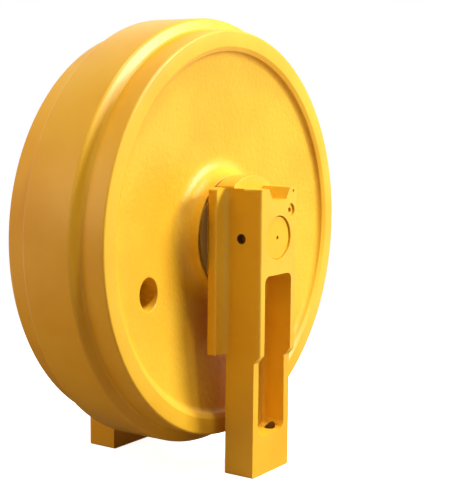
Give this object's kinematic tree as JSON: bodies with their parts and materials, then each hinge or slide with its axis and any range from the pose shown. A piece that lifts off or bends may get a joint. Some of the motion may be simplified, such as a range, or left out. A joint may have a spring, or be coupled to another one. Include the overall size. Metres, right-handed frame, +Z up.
{
  "type": "excavator front idler",
  "caption": "Front idler for an excavator track: a hollow flanged wheel that turns on a fixed shaft between cast brackets with guide rails and bolted feet.",
  "frame": {"origin": "on the standing surface, midway between the bracket feet and straight below the shaft", "axes": "+Z up from the feet, +Y along the shaft from the near bracket with the pictured side to the far bracket, +X to the right seen from the near side"},
  "size_m": [0.5419, 0.2804, 0.571],
  "materials": {
    "wheel_paint": "glossy yellow enamel over a cast surface",
    "bracket_paint": "glossy yellow enamel over a machined casting",
    "shaft_steel": "ground steel, its end faces painted yellow",
    "pin_steel": "dull steel",
    "plug_steel": "steel plug painted over with the bracket",
    "bush_bronze": "turned bronze",
    "seal_iron": "hard cast iron with a lapped face",
    "seal_rubber": "matte black nitrile rubber"
  },
  "bodies": {
    "carrier": {"shaft": "shaft_steel", "near_bracket": "bracket_paint", "far_bracket": "bracket_paint", "near_fixed_seal_ring": "seal_iron", "far_fixed_seal_ring": "seal_iron", "near_fixed_toric_ring": "seal_rubber", "far_fixed_toric_ring": "seal_rubber", "near_shaft_o_ring": "seal_rubber", "far_shaft_o_ring": "seal_rubber", "near_lock_pin": "pin_steel", "far_lock_pin": "pin_steel", "near_filler_plug": "plug_steel", "far_filler_plug": "plug_steel"},
    "turning_wheel": {"wheel": "wheel_paint", "near_bush": "bush_bronze", "far_bush": "bush_bronze", "near_rotating_seal_ring": "seal_iron", "far_rotating_seal_ring": "seal_iron", "near_rotating_toric_ring": "seal_rubber", "far_rotating_toric_ring": "seal_rubber"}
  },
  "joints": [
    {"name": "wheel_spin", "type": "hinge", "parent": "carrier", "child": "turning_wheel", "pos_m": [0, 0, 0.3], "axis": [0, 1, 0], "continuous": true}
  ]
}
